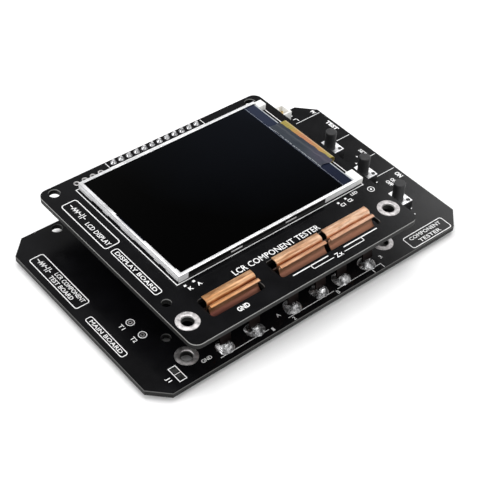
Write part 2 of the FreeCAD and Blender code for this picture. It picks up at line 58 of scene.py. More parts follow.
# Azimuth, elevation and roll in degrees, then the way from the deck's middle along the camera's own axes.
CAMERA_ANGLES = (-42.489, 43.478, 4.029)
CAMERA_OFFSET = (-0.450, -2.070, 320.118)
SENSOR_WIDTH = 36
LENS_LENGTH = 90.4695

# The sky is even but for a soft dark patch, in the direction that the flat tops mirror to the camera. Its core
# and its rim are the cosines of two angles. With PATCH_STRENGTH equal to SKY_STRENGTH the whole sky is even.
SKY_STRENGTH = 0.8
PATCH_STRENGTH = 0.08
PATCH_TOWARD = Vector((0.49, 0.49, 0.72)).normalized()
PATCH_CORE = 0.999
PATCH_RIM = 0.965


def low(node):
    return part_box(node)[0] / MM


def high(node):
    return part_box(node)[1] / MM


def middle(node):
    return (low(node) + high(node)) / 2


DECK = high("main_board").z
UNDER = low("main_board").z
DISPLAY_UNDER = low("display_board").z
DISPLAY_DECK = high("display_board").z


# --- camera, floor and light -------------------------------------------------------------------

def aim_camera():
    """Camera on the front left, above, turned a little about its own axis."""
    azimuth, elevation, roll = (math.radians(angle) for angle in CAMERA_ANGLES)
    back = Vector((math.sin(azimuth) * math.cos(elevation), -math.cos(azimuth) * math.cos(elevation),
                   math.sin(elevation)))
    right = Vector((math.cos(azimuth), math.sin(azimuth), 0))
    up = back.cross(right)
    rolled_right = right * math.cos(roll) + up * math.sin(roll)
    rolled_up = up * math.cos(roll) - right * math.sin(roll)
    turn = Matrix((rolled_right, rolled_up, back)).transposed()
    place = turn @ Vector(CAMERA_OFFSET) + Vector((0, 0, DECK))
    data = bpy.data.cameras.new("camera")
    data.sensor_width = SENSOR_WIDTH
    data.lens = LENS_LENGTH
    data.clip_start = 0.01
    camera = bpy.data.objects.new("camera", data)
    bpy.context.scene.collection.objects.link(camera)
    camera.matrix_world = Matrix.Translation(place * MM) @ turn.to_4x4()
    bpy.context.scene.camera = camera


def add_light(name, place, target, side, power):
    data = bpy.data.lights.new(name, "AREA")
    data.shape = "SQUARE"
    data.size = side
    data.energy = power
    light = bpy.data.objects.new(name, data)
    bpy.context.scene.collection.objects.link(light)
    light.location = place
    light.rotation_euler = (Vector(target) - Vector(place)).to_track_quat("-Z", "Y").to_euler()


def set_sky():
    world = bpy.data.worlds.new("studio")
    world.use_nodes = True
    bpy.context.scene.world = world
    tree = world.node_tree
    sky = tree.nodes.new("ShaderNodeTexCoord").outputs["Generated"]
    toward = tree.nodes.new("ShaderNodeVectorMath")
    toward.operation = "DOT_PRODUCT"
    tree.links.new(sky, toward.inputs[0])
    toward.inputs[1].default_value = PATCH_TOWARD
    fall = tree.nodes.new("ShaderNodeMapRange")
    fall.interpolation_type = "SMOOTHSTEP"
    tree.links.new(toward.outputs["Value"], fall.inputs["Value"])
    for socket, value in (("From Min", PATCH_CORE), ("From Max", PATCH_RIM),
                          ("To Min", PATCH_STRENGTH), ("To Max", SKY_STRENGTH)):
        fall.inputs[socket].default_value = value
    tree.nodes["Background"].inputs["Color"].default_value = (1, 1, 1, 1)
    tree.links.new(fall.outputs["Result"], tree.nodes["Background"].inputs["Strength"])


def set_stage():
    bpy.context.scene.view_settings.view_transform = "Standard"
    set_sky()
    add_light("key_above_back", (0.12, 0.3, 1.8), (0, 0, 0), 1.2, 17.0)
    add_light("fill_left", (-1.3, 0.35, 0.75), (0, 0, 0), 0.8, 8.0)
    add_light("fill_front", (0.35, -1.3, 0.9), (0, 0, 0), 0.6, 4.0)
    add_light("edge_card_right", (0.905, 0.52, 0.785), (0, 0, 0), 0.2, 0.75)
    mesh = bmesh.new()
    bmesh.ops.create_grid(mesh, x_segments=1, y_segments=1, size=1500)
    floor = make_piece(mesh, "floor", None, None, floor_paper())


# --- materials ---------------------------------------------------------------------------------

class Finish:
    """A material under construction: one shader, with helpers for the nodes that feed it."""

    def __init__(self, name, colour, roughness, metallic=0.0):
        self.material = bpy.data.materials.new(name)
        self.material.use_nodes = True
        self.nodes = self.material.node_tree.nodes
        self.links = self.material.node_tree.links
        self.shader = self.nodes["Principled BSDF"]
        self.place = self.nodes.new("ShaderNodeTexCoord").outputs["Object"]
        self.set("Base Color", (*colour, 1))
        self.set("Roughness", roughness)
        self.set("Metallic", metallic)

    def set(self, socket, value):
        self.shader.inputs[socket].default_value = value

    def feed(self, socket, output):
        self.links.new(output, self.shader.inputs[socket])

    def node(self, kind, **inputs):
        made = self.nodes.new("ShaderNode" + kind)
        for name, value in inputs.items():
            socket = made.inputs[name]
            if isinstance(value, bpy.types.NodeSocket):
                self.links.new(value, socket)
            else:
                socket.default_value = value
        return made

    def stretched(self, scale):
        return self.node("Mapping", Vector=self.place, Scale=scale).outputs["Vector"]

    def noise(self, scale, detail=3.0, vector=None, distortion=0.0):
        made = self.node("TexNoise", Vector=vector or self.place, Scale=scale, Detail=detail,
                         Distortion=distortion)
        return made.outputs["Fac"]

    def wave(self, scale, distortion=0.0):
        """Bands that follow each other along Y."""
        made = self.node("TexWave", Vector=self.place, Scale=scale, Distortion=distortion)
        made.bands_direction = "Y"
        return made.outputs["Fac"]

    def ramp(self, fac, stops):
        made = self.node("ValToRGB", Fac=fac)
        ramp = made.color_ramp
        while len(ramp.elements) < len(stops):
            ramp.elements.new(0.5)
        for element, (position, colour) in zip(ramp.elements, stops):
            element.position = position
            element.color = (*colour, 1) if isinstance(colour, tuple) else (colour, colour, colour, 1)
        return made.outputs["Color"]

    def math(self, operation, first, second=0.0):
        made = self.nodes.new("ShaderNodeMath")
        made.operation = operation
        for socket, value in zip(made.inputs, (first, second)):
            if isinstance(value, bpy.types.NodeSocket):
                self.links.new(value, socket)
            else:
                socket.default_value = value
        return made.outputs["Value"]

    def mix(self, fac, first, second):
        """Blend of two colours: the Mix node's inputs 0, 6 and 7 are its factor and its two colours."""
        made = self.nodes.new("ShaderNodeMix")
        made.data_type = "RGBA"
        for socket, value in ((made.inputs[0], fac), (made.inputs[6], first), (made.inputs[7], second)):
            if isinstance(value, bpy.types.NodeSocket):
                self.links.new(value, socket)
            else:
                socket.default_value = value if isinstance(value, float) else (*value, 1)
        return made.outputs[2]

    def span(self, value, first, last):
        """Share of the way, 0 to 1, from one place in millimetres to another."""
        made = self.node("MapRange", Value=value)
        made.inputs["From Min"].default_value = first * MM
        made.inputs["From Max"].default_value = last * MM
        return made.outputs["Result"]

    def bump(self, height, strength, distance):
        made = self.node("Bump", Height=height, Strength=strength, Distance=distance)
        self.feed("Normal", made.outputs["Normal"])

    def normal_part(self, axis):
        geometry = self.nodes.new("ShaderNodeNewGeometry")
        return self.node("SeparateXYZ", Vector=geometry.outputs["Normal"]).outputs[axis]


def solder_mask(name, top, line):
    """Black solder mask over copper; the cut edge is dark laminate with a painted highlight, a light line just
    under the top face.
    """
    finish = Finish(name, (0.003, 0.003, 0.0035), 0.2)
    mottle = finish.noise(180.0, 4.0)
    face = finish.ramp(mottle, [(0.3, (0.0022, 0.0022, 0.0026)), (0.75, (0.0042, 0.0042, 0.005))])
    fibre = finish.noise(1500.0, 4.0, finish.stretched((1, 1, 8)))
    laminate = finish.ramp(fibre, [(0.3, (0.003, 0.003, 0.003)), (0.7, (0.014, 0.014, 0.013))])
    height = finish.node("SeparateXYZ", Vector=finish.place).outputs["Z"]
    # Painted highlight: the top 0.32 mm of each cut edge takes the line colour in place of the laminate.
    painted_edge_highlight = finish.math("GREATER_THAN", height, (top - 0.32) * MM)
    edge = finish.mix(painted_edge_highlight, laminate, (line, line, line * 0.97))
    upright = finish.math("LESS_THAN", finish.math("ABSOLUTE", finish.normal_part("Z")), 0.5)
    finish.feed("Base Color", finish.mix(upright, face, edge))
    finish.feed("Roughness", finish.math("ADD", finish.math("MULTIPLY", mottle, 0.1),
                                         finish.math("ADD", finish.math("MULTIPLY", upright, 0.3), 0.15)))
    finish.set("Specular IOR Level", 0.15)
    finish.bump(finish.noise(900.0, 3.0), 0.05, 0.0001)
    return finish.material


def print_ink():
    finish = Finish("print_ink", (0.82, 0.82, 0.8), 0.5)
    finish.feed("Base Color", finish.ramp(finish.noise(2400.0, 4.0), [(0.3, 0.68), (0.6, 0.86)]))
    finish.bump(finish.noise(5000.0, 2.0), 0.15, 0.00002)
    return finish.material


def metal(name, dark, light, roughness, grain=700.0, bump=0.12):
    """Bare or plated metal, with soft blotches and a fine grain."""
    finish = Finish(name, light, roughness, 1.0)
    blotch = finish.noise(grain, 4.0)
    finish.feed("Base Color", finish.ramp(blotch, [(0.3, dark), (0.65, light)]))
    finish.feed("Roughness", finish.math("ADD", finish.math("MULTIPLY", blotch, roughness), roughness * 0.6))
    finish.bump(finish.noise(grain * 2.5, 3.0), bump, 0.00005)
    return finish.material


def flowed_solder():
    """Hand-flowed solder: grey and crinkled, bright where it wetted well and dark where flux was left."""
    finish = Finish("flowed_solder", (0.5, 0.5, 0.51), 0.26, 1.0)
    flux = finish.noise(520.0, 4.0, distortion=0.6)
    crinkle = finish.noise(900.0, 4.0, distortion=0.8)
    finish.feed("Base Color", finish.ramp(flux, [(0.36, (0.07, 0.07, 0.072)), (0.52, (0.4, 0.4, 0.405)),
                                                 (0.64, (0.82, 0.82, 0.83))]))
    finish.feed("Roughness", finish.math("ADD", finish.math("MULTIPLY", crinkle, 0.25), 0.14))
    finish.bump(crinkle, 0.7, 0.0005)
    return finish.material


def copper_leaf():
    """Rolled copper alloy, golden and darker at the ground clip and pinker and lighter at the right one: partly
    a tint that differs by clip, partly painted shade and light. Painted shade also darkens the front leaf, the
    copper under the display board, and the legs to near black.
    """
    finish = Finish("copper_leaf", (0.7, 0.38, 0.2), 0.3, 1.0)
    drawn = finish.noise(150.0, 4.0, finish.stretched((1, 9, 9)), 0.4)
    cloud = finish.noise(170.0, 4.0)
    place = finish.node("SeparateXYZ", Vector=finish.place).outputs
    across = finish.span(place["X"], low("ground_clip_front_leaf").x, high("right_clip_front_leaf").x)
    # Painted light and shade: the right clip's ramp is much lighter than the ground clip's, on top of a pinker
    # tint.
    golden = finish.ramp(drawn, [(0.32, (0.36, 0.15, 0.06)), (0.5, (0.56, 0.295, 0.14)),
                                 (0.68, (0.72, 0.44, 0.24))])
    pink = finish.ramp(drawn, [(0.32, (0.58, 0.3, 0.19)), (0.5, (0.82, 0.52, 0.37)),
                               (0.68, (0.96, 0.73, 0.57))])
    fleck = finish.ramp(finish.noise(1300.0, 3.0, finish.stretched((0.4, 1, 1))), [(0.4, 0.0), (0.65, 0.4)])
    bright = finish.mix(finish.math("MULTIPLY", finish.math("POWER", cloud, 2.0), 0.4),
                        finish.mix(across, golden, pink), (0.62, 0.42, 0.17))
    bright = finish.mix(fleck, bright, (0.3, 0.13, 0.06))
    # Painted shade: the front leaf is mixed halfway towards a dark red brown, darker at the ground clip than at
    # the right one.
    seam = high("ground_clip_front_leaf").y
    front_leaf_shade = finish.math("MULTIPLY", finish.span(place["Y"], seam + 0.3, seam - 0.3), 0.5)
    bright = finish.mix(front_leaf_shade, bright, finish.mix(across, (0.3, 0.12, 0.045), (0.5, 0.25, 0.16)))
    # Painted shade: below the display board the copper turns dark red, darkest at the ground clip, and lower
    # down on the legs it turns near black.
    under_board_shade = finish.span(place["Z"], DISPLAY_DECK + 0.2, DISPLAY_UNDER + 0.5)
    leg_shade_mask = finish.span(place["Z"], DISPLAY_UNDER + 0.5, DISPLAY_UNDER - 1.2)
    shaded_copper = finish.mix(across, (0.13, 0.045, 0.035), (0.5, 0.24, 0.15))
    painted_leg_shadow = finish.ramp(cloud, [(0.3, (0.004, 0.002, 0.002)), (0.7, (0.012, 0.006, 0.005))])
    finish.feed("Base Color", finish.mix(leg_shade_mask, finish.mix(under_board_shade, bright, shaded_copper), painted_leg_shadow))
    finish.feed("Roughness", finish.math("ADD", finish.math("MULTIPLY", drawn, 0.2), 0.24))
    finish.bump(drawn, 0.14, 0.0001)
    return finish.material


def moulded(name, colour, roughness, grain=1800.0, spread=0.25, bump=0.25, gloss=0.5):
    """Moulded plastic, epoxy, ceramic or ferrite with a fine spark-eroded grain."""
    finish = Finish(name, colour, roughness)
    speckle = finish.noise(grain, 4.0)
    darker = tuple(part * (1 - spread) for part in colour)
    lighter = tuple(min(1.0, part * (1 + spread)) for part in colour)
    finish.feed("Base Color", finish.ramp(speckle, [(0.3, darker), (0.7, lighter)]))
    finish.feed("Roughness", finish.math("ADD", finish.math("MULTIPLY", speckle, 0.15), roughness - 0.07))
    finish.set("Specular IOR Level", gloss)
    finish.bump(speckle, bump, 0.00004)
    return finish.material


def black_panel():
    """Polariser over a dark screen: near black, with a painted blue sheen that brightens it towards the back
    right corner.
    """
    finish = Finish("black_panel", (0.001, 0.001, 0.0012), 0.1)
    corner = high("screen_polariser")
    spot = finish.node("Mapping", Vector=finish.place, Location=(-corner.x * MM, -corner.y * MM, 0.0))
    away = finish.node("VectorMath", Vector=spot.outputs["Vector"])
    away.operation = "LENGTH"
    uneven = finish.math("MULTIPLY", finish.noise(60.0, 2.0), 0.008)
    spread = finish.math("ADD", uneven, away.outputs["Value"])
    # Painted sheen: a faint blue that fades with distance from the back right corner, over a near black panel.
    painted_sheen = finish.ramp(finish.math("MULTIPLY", spread, 18.0),
                       [(0.08, (0.009, 0.012, 0.022)), (0.4, (0.003, 0.0036, 0.0052)),
                        (0.95, (0.0006, 0.0006, 0.0006))])
    finish.feed("Base Color", painted_sheen)
    finish.set("Specular IOR Level", 0.045)
    finish.bump(finish.noise(3500.0, 2.0), 0.02, 0.00001)
    return finish.material


def circuit_glass():
    """Bare ledge of the display glass, navy at the front and slate blue at the back, with conductor lines."""
    finish = Finish("circuit_glass", (0.012, 0.015, 0.03), 0.15)
    along = finish.span(finish.node("SeparateXYZ", Vector=finish.place).outputs["Y"],
                        low("screen_rear_glass").y, high("screen_rear_glass").y)
    shade = finish.ramp(along, [(0.1, (0.005, 0.007, 0.019)), (0.8, (0.017, 0.022, 0.041))])
    lines = finish.wave(700.0)
    finish.feed("Base Color", finish.mix(finish.math("MULTIPLY", lines, 0.2), shade, (0.045, 0.055, 0.085)))
    finish.set("Specular IOR Level", 0.14)
    finish.bump(lines, 0.05, 0.00001)
    return finish.material


def ledge_film():
    """Smoky protective film over the driver chip: creased, purple grey with bluer and darker patches."""
    finish = Finish("ledge_film", (0.05, 0.05, 0.07), 0.3)
    crease = finish.noise(300.0, 5.0, finish.stretched((1, 0.35, 1)), 1.2)
    patch = finish.noise(110.0, 3.0, finish.stretched((1, 0.5, 1)))
    smoke = finish.ramp(patch, [(0.42, (0.008, 0.015, 0.024)), (0.5, (0.02, 0.022, 0.038)),
                                (0.6, (0.036, 0.028, 0.052))])
    finish.feed("Base Color", finish.mix(finish.math("MULTIPLY", crease, 0.35), smoke, (0.06, 0.062, 0.075)))
    finish.feed("Roughness", finish.math("ADD", finish.math("MULTIPLY", crease, 0.3), 0.2))
    finish.set("Specular IOR Level", 0.25)
    finish.bump(crease, 0.4, 0.0002)
    return finish.material


def flex_film():
    """Amber film with copper tracks; redder in the middle of its width and olive at its sides, with a painted
    highlight along its outer rim.
    """
    finish = Finish("flex_film", (0.6, 0.35, 0.1), 0.3)
    along = finish.node("SeparateXYZ", Vector=finish.place).outputs["Y"]
    centre = middle("screen_flex_cable").y * MM
    half = (high("screen_flex_cable").y - low("screen_flex_cable").y) / 2 * MM
    off = finish.math("DIVIDE", finish.math("ABSOLUTE", finish.math("SUBTRACT", along, centre)), half)
    blotch = finish.math("ADD", off, finish.math("MULTIPLY", finish.noise(260.0, 3.0), 0.5))
    base = finish.ramp(blotch, [(0.4, (0.34, 0.12, 0.05)), (0.75, (0.33, 0.17, 0.03)),
                                (1.0, (0.22, 0.18, 0.02))])
    tracks = finish.wave(420.0, 0.4)
    # Painted highlight: the film lightens over the last millimetre or so towards its outer rim.
    rim = high("screen_flex_cable").x
    outer = finish.span(finish.node("SeparateXYZ", Vector=finish.place).outputs["X"], rim - 1.1, rim - 0.4)
    rim_highlighted = finish.mix(finish.math("MULTIPLY", outer, 0.4), base, (0.6, 0.44, 0.15))
    finish.feed("Base Color", finish.mix(finish.math("MULTIPLY", tracks, 0.15), rim_highlighted, (0.7, 0.45, 0.2)))
    finish.set("Coat Weight", 0.12)
    finish.set("Coat Roughness", 0.2)
    finish.bump(tracks, 0.3, 0.00003)
    return finish.material


def floor_paper():
    finish = Finish("floor_paper", (0.93, 0.93, 0.93), 0.75)
    finish.feed("Base Color", finish.ramp(finish.noise(30.0, 3.0), [(0.3, 0.9), (0.7, 0.935)]))
    finish.bump(finish.noise(900.0, 3.0), 0.02, 0.0001)
    return finish.material


# --- mesh helpers ------------------------------------------------------------------------------

def make_piece(mesh, name, body, slot, *materials, smooth=None):
    """Turn a bmesh in millimetres into a finished piece that rides on a body."""
    data = bpy.data.meshes.new(name)
    mesh.to_mesh(data)
    mesh.free()
    data.transform(Matrix.Scale(MM, 4))
    for material in materials:
        data.materials.append(material)
    piece = bpy.data.objects.new(name, data)
    bpy.context.scene.collection.objects.link(piece)
    if smooth is not None:
        data.shade_smooth()
        data.set_sharp_from_angle(angle=math.radians(smooth))
    if body:
        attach(piece, body)
    return piece


def verts_in(geometry):
    return [item for item in geometry if isinstance(item, bmesh.types.BMVert)]


def add_block(mesh, lows, highs, bevel=0.0, segments=2, paint=0):
    """Box between two corners, with its edges rounded."""
    extent = Vector(highs) - Vector(lows)
    centre = (Vector(lows) + Vector(highs)) / 2
    place = Matrix.Translation(centre) @ Matrix.Diagonal((*extent, 1))
    made = bmesh.ops.create_cube(mesh, size=1, matrix=place)["verts"]
    for face in {face for vert in made for face in vert.link_faces}:
        face.material_index = paint
    if bevel:
        edges = list({edge for vert in made for edge in vert.link_edges})
        bmesh.ops.bevel(mesh, geom=edges, offset=bevel, segments=segments, affect="EDGES", profile=0.5,
                        material=-1)


def spin_profile(mesh, centre, profile, steps, wobble=0.0, seed=0.0):
    """Turn a profile of (radius, height) points about an upright axis; wobble makes it uneven."""
    axis = Vector((centre[0], centre[1], 0))
    chain = [mesh.verts.new(axis + Vector((radius, 0, height))) for radius, height in profile]
    edges = [mesh.edges.new(pair) for pair in zip(chain, chain[1:])]
    before = set(mesh.faces)
    bmesh.ops.spin(mesh, geom=chain + edges, cent=axis, axis=(0, 0, 1), angle=math.tau, steps=steps,
                   use_merge=True)
    faces = [face for face in mesh.faces if face not in before]
    verts = list({vert for face in faces for vert in face.verts})
    bmesh.ops.remove_doubles(mesh, verts=verts, dist=1e-4)
    faces = [face for face in mesh.faces if face not in before]
    verts = list({vert for face in faces for vert in face.verts})
    if wobble:
        base = min(vert.co.z for vert in verts)
        span = max(vert.co.z for vert in verts) - base
        for vert in verts:
            outward = Vector((vert.co.x - axis.x, vert.co.y - axis.y, 0))
            spot = Vector((outward.x, outward.y, vert.co.z))
            share = noise.noise(spot * 0.55 + Vector((seed, seed * 0.7, 0)))
            fine = noise.noise(spot * 1.5 + Vector((0, seed, seed)))
            vert.co += outward * wobble * (share + 0.35 * fine)
            vert.co.z += (vert.co.z - base) / span * wobble * span * share
    bmesh.ops.recalc_face_normals(mesh, faces=faces)


def softened(node, width, name, body, slot, material, segments=2):
    """A copy of a CAD node with its edges rounded, which then stands for it."""
    mesh = bmesh.new()
    mesh.from_mesh(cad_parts[node].data)
    mesh.transform(Matrix.Scale(1 / MM, 4))
    bmesh.ops.remove_doubles(mesh, verts=mesh.verts, dist=1e-3)
    bmesh.ops.dissolve_limit(mesh, angle_limit=math.radians(1), verts=mesh.verts, edges=mesh.edges)
    sharp = [edge for edge in mesh.edges if edge.is_manifold and edge.calc_face_angle(0) > math.radians(40)]
    bmesh.ops.bevel(mesh, geom=sharp, offset=width, segments=segments, affect="EDGES", profile=0.5,
                    material=-1, clamp_overlap=True)
    piece = make_piece(mesh, name, body, slot, material, smooth=35)
    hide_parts(node)


def paint_node(node, material):
    """Give a CAD node that stays as it is a better material."""
    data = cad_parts[node].data
    data.materials.clear()
    data.materials.append(material)


# --- printed ink -------------------------------------------------------------------------------

def draw_line(mesh, start, end, width, level):
    """Straight stroke of ink."""
    start, end = Vector((*start, 0)), Vector((*end, 0))
    along = end - start
    place = (Matrix.Translation((start + end) / 2 + Vector((0, 0, level + INK / 2)))
             @ Matrix.Rotation(math.atan2(along.y, along.x), 4, "Z")
             @ Matrix.Diagonal((along.length + width, width, INK, 1)))
    bmesh.ops.create_cube(mesh, size=1, matrix=place)


def draw_path(mesh, points, width, level):
    for start, end in zip(points, points[1:]):
        draw_line(mesh, start, end, width, level)


def draw_box(mesh, left, right, front, back, width, level, corner=0.0, filled=False):
    """Outline, or a filled patch, with rounded corners."""
    centre = Vector(((left + right) / 2, (front + back) / 2, level))
    place = Matrix.Translation(centre) @ Matrix.Diagonal((right - left, back - front, 1, 1))
    verts = bmesh.ops.create_grid(mesh, x_segments=1, y_segments=1, size=0.5, matrix=place)["verts"]
    faces = list({face for vert in verts for face in vert.link_faces})
    if corner:
        before = set(mesh.faces) - set(faces)
        bmesh.ops.bevel(mesh, geom=verts, offset=corner, segments=5, affect="VERTICES", profile=0.5,
                        material=-1)
        faces = [face for face in mesh.faces if face not in before]
    if not filled:
        rim = bmesh.ops.inset_region(mesh, faces=faces, thickness=width, use_boundary=True,
                                     use_even_offset=True)["faces"]
        bmesh.ops.delete(mesh, geom=faces, context="FACES_ONLY")
        faces = rim
    raised = bmesh.ops.extrude_face_region(mesh, geom=faces, use_keep_orig=True)["geom"]
    bmesh.ops.translate(mesh, vec=(0, 0, INK), verts=verts_in(raised))


def draw_ring(mesh, centre, outer, inner, level, steps=32, height=INK):
    spin_profile(mesh, centre, [(inner, level), (outer, level), (outer, level + height),
                                (inner, level + height), (inner, level)], steps)


def draw_text(mesh, words, centre, length, height, level, turn=0, bold=0.008):
    """Lettering scaled to a length and a capital height, centred on a place."""
    curve = bpy.data.curves.new("lettering", "FONT")
    curve.body = words
    curve.extrude = INK / 2
    curve.resolution_u = 2
    curve.offset = bold
    item = bpy.data.objects.new("lettering", curve)
    bpy.context.scene.collection.objects.link(item)
    bpy.context.view_layer.update()
    letters = bpy.data.meshes.new_from_object(item)
    bpy.data.objects.remove(item)
    bpy.data.curves.remove(curve)
    xs = [vert.co.x for vert in letters.vertices]
    ys = [vert.co.y for vert in letters.vertices]
    wide, tall = max(xs) - min(xs), max(ys) - min(ys)
    shift = Matrix.Translation((-(max(xs) + min(xs)) / 2, -(max(ys) + min(ys)) / 2, 0))
    stretch = Matrix.Diagonal((length / wide, height / tall, 1, 1))
    turned = Matrix.Rotation(math.radians(turn), 4, "Z")
    letters.transform(Matrix.Translation((*centre, level + INK / 2)) @ turned @ stretch @ shift)
    mesh.from_mesh(letters)
    bpy.data.meshes.remove(letters)


def draw_circuit(mesh, across, front, back, level):
    """Circuit symbols of a resistor and a capacitor in series, as thin lines along Y."""
    stroke, teeth, swing = 0.22, 6, 0.7
    half_plate, half_gap = 0.9, 0.32
    length = back - front
    first, last = back - length * 0.16, back - length * 0.58
    plates = front + length * 0.2
    route = [(across, back), (across, first)]
    for tooth in range(teeth):
        side = swing if tooth % 2 else -swing
        route.append((across + side, first + (last - first) * (tooth + 0.5) / teeth))
    route += [(across, last), (across, plates + half_gap)]
    draw_path(mesh, route, stroke, level)
    for depth in (plates - half_gap, plates + half_gap):
        draw_line(mesh, (across - half_plate, depth), (across + half_plate, depth), stroke, level)
    draw_line(mesh, (across, plates - half_gap), (across, front), stroke, level)


def print_display_board(ink):
    mesh = bmesh.new()
    level = DISPLAY_DECK
    draw_box(mesh, -33.2, 28.8, -14.75, 28.1, 0.25, level)
    draw_text(mesh, "LCR COMPONENT TESTER", (-5.8, -19.6), 28.0, 1.85, level)
    draw_text(mesh, "GND", (-24.9, -29.6), 3.5, 1.5, level, bold=0.03)
    draw_text(mesh, "Zx", (5.5, -30.1), 2.3, 1.5, level)
    for left, right, joint, inner in ((-8.5, 2.8, -2.9, 3.6), (8.3, 19.6, 14.1, 7.4)):
        draw_line(mesh, (left, -28.9), (right, -28.9), 0.3, level)
        draw_path(mesh, [(joint, -28.9), (joint, -30.2), (inner, -30.2)], 0.2, level)
    draw_box(mesh, -39.8, -35.0, 5.5, 25.2, 0.25, level, 0.9)
    draw_circuit(mesh, -37.4, 17.6, 24.0, level)
    draw_text(mesh, "LCD DISPLAY", (-37.9, 11.2), 9.8, 1.4, level, -90)
    draw_box(mesh, -39.3, -36.9, -14.3, 4.3, 0.22, level, 0.7)
    draw_text(mesh, "DISPLAY BOARD", (-38.1, -5.0), 16.4, 1.15, level, -90)
    for across, letters in ((-31.0, "K"), (-28.4, "A")):
        draw_text(mesh, letters, (across, -17.3), 1.2, 1.1, level, bold=0.03)
        draw_box(mesh, across - 1.0, across - 0.3, -16.2, -15.6, 0, level, filled=True)
    for across, depth, words in ((18.9, -17.3, "C1"), (21.6, -17.1, "C2")):
        draw_text(mesh, words, (across, depth), 1.5, 1.1, level, bold=0.03)
        draw_box(mesh, across - 0.9, across - 0.3, depth + 0.9, depth + 1.5, 0, level, filled=True)
    draw_text(mesh, "LED", (24.3, -15.7), 2.2, 0.9, level)
    draw_ring(mesh, (29.1, -17.2), 1.0, 0.82, level)
    draw_ring(mesh, (29.1, -17.2), 0.3, 0.05, level, 12)
    pins = low("header_strip"), high("header_strip")
    draw_path(mesh, [(pins[0].x - 0.7, 32.3), (pins[0].x - 0.7, 30.1), (pins[1].x + 0.7, 30.1),
                     (pins[1].x + 0.7, 32.3)], 0.18, level)
    for number, letter in enumerate(PIN_LETTERS):
        draw_text(mesh, letter, (pins[0].x + (number + 0.5) * PIN_PITCH, 29.1), 1.0, 1.1, level)
    bmesh.ops.recalc_face_normals(mesh, faces=mesh.faces)
    make_piece(mesh, "display_board_print", "display", "circuit_board", ink)


def print_main_board(ink):
    mesh = bmesh.new()
    level = DECK
    draw_box(mesh, -50.7, -46.3, 3.0, 24.5, 0.25, level, 0.8)
    draw_circuit(mesh, -48.5, 17.6, 23.4, level)
    draw_text(mesh, "LCR COMPONENT", (-47.6, 10.2), 12.4, 1.25, level, -90)
    draw_text(mesh, "TEST BOARD", (-49.4, 11.4), 10.0, 1.25, level, -90)
    draw_box(mesh, -50.95, -48.8, -16.5, -1.0, 0.22, level, 0.7)
    draw_text(mesh, "MAIN BOARD", (-49.9, -8.75), 13.0, 1.1, level, -90)
    draw_box(mesh, -44.4, -42.15, -30.75, -25.9, 0.22, level)
    draw_line(mesh, (-44.3, -28.3), (-42.3, -28.3), 0.15, level)
    draw_text(mesh, "J1", (-46.2, -28.6), 1.4, 1.4, level, -90)
    draw_box(mesh, 32.55, 47.4, -32.2, -27.6, 0.25, level, 0.8)
    draw_text(mesh, "COMPONENT", (40.0, -29.0), 11.6, 1.2, level)
    draw_text(mesh, "TESTER", (40.0, -30.9), 8.0, 1.2, level)
    for left, right in ((-32.0, -17.0), (-10.4, 4.85), (6.2, 21.3)):
        draw_line(mesh, (left, -30.75), (right, -30.75), 0.16, level)
    for across in (18.1, 21.5):
        draw_line(mesh, (across, -30.75), (across, -32.2), 0.2, level)
    for words, place, length in (("GND", (-35.0, -29.0), 3.0), ("1", (-16.0, -31.3), 0.6),
                                 ("A", (-12.0, -28.5), 1.1), ("2", (-9.4, -31.7), 0.7),
                                 ("B", (5.6, -31.6), 0.8), ("3", (23.2, -29.0), 0.8)):
        draw_text(mesh, words, place, length, 1.1, level)
    for words, centre in TEST_POINTS:
        draw_text(mesh, words, (-45.1, centre[1]), 1.8, 1.2, level, -90)
        draw_ring(mesh, centre, 1.15, 0.92, level)
    for depth, left in ((26.2, 42.3), (13.3, 47.1), (2.5, 50.0), (-5.2, 45.4)):
        draw_line(mesh, (left, depth), (51.9, depth), 0.2, level)
    draw_path(mesh, [(43.4, 28.1), (44.4, 28.1), (44.4, 27.0)], 0.28, level)
    draw_box(mesh, 43.0, 44.3, 29.6, 30.9, 0, level, filled=True)
    draw_text(mesh, "9V", (50.6, 27.5), 1.7, 1.3, level, -90, bold=0.05)
    draw_text(mesh, "TEST", (50.9, 19.5), 4.8, 1.5, level, -90, bold=0.05)
    draw_text(mesh, "SET", (49.6, 5.2), 2.6, 1.2, level, -90, bold=0.02)
    draw_text(mesh, "ON", (50.9, -8.2), 2.4, 1.6, level, -90, bold=0.05)
    draw_text(mesh, "ON", (47.9, -9.1), 1.9, 1.3, level, -90, bold=0.05)
    draw_text(mesh, "OFF", (46.2, -9.3), 2.5, 1.3, level, -90, bold=0.05)
    for place in ((46.8, 4.6), (44.5, 2.5), (43.5, -6.9), (42.6, -22.6), (43.5, -20.4)):
        spin_profile(mesh, place, [(0, level), (0.42, level), (0.42, level + INK), (0, level + INK)], 3)
    bmesh.ops.recalc_face_normals(mesh, faces=mesh.faces)
    make_piece(mesh, "main_board_print", "base", "circuit_board", ink)


# --- solder ------------------------------------------------------------------------------------

def solder_cone(mesh, centre, face, up, foot, top, height, wobble, seed, steps=28):
    """A wetted cone of solder on a face of a board: up is +1 above it and -1 below it."""
    span = foot - top
    curve = [(foot, 0.0), (foot * 0.985, 0.06), (top + span * 0.8, 0.2), (top + span * 0.52, 0.4),
             (top + span * 0.25, 0.62), (top + span * 0.06, 0.82), (top * 0.8, 0.95), (top * 0.4, 1.0),
             (0.0, 1.01)]
    profile = [(radius, face + up * height * share) for radius, share in curve]
    spin_profile(mesh, centre, profile, steps, wobble=wobble, seed=seed)


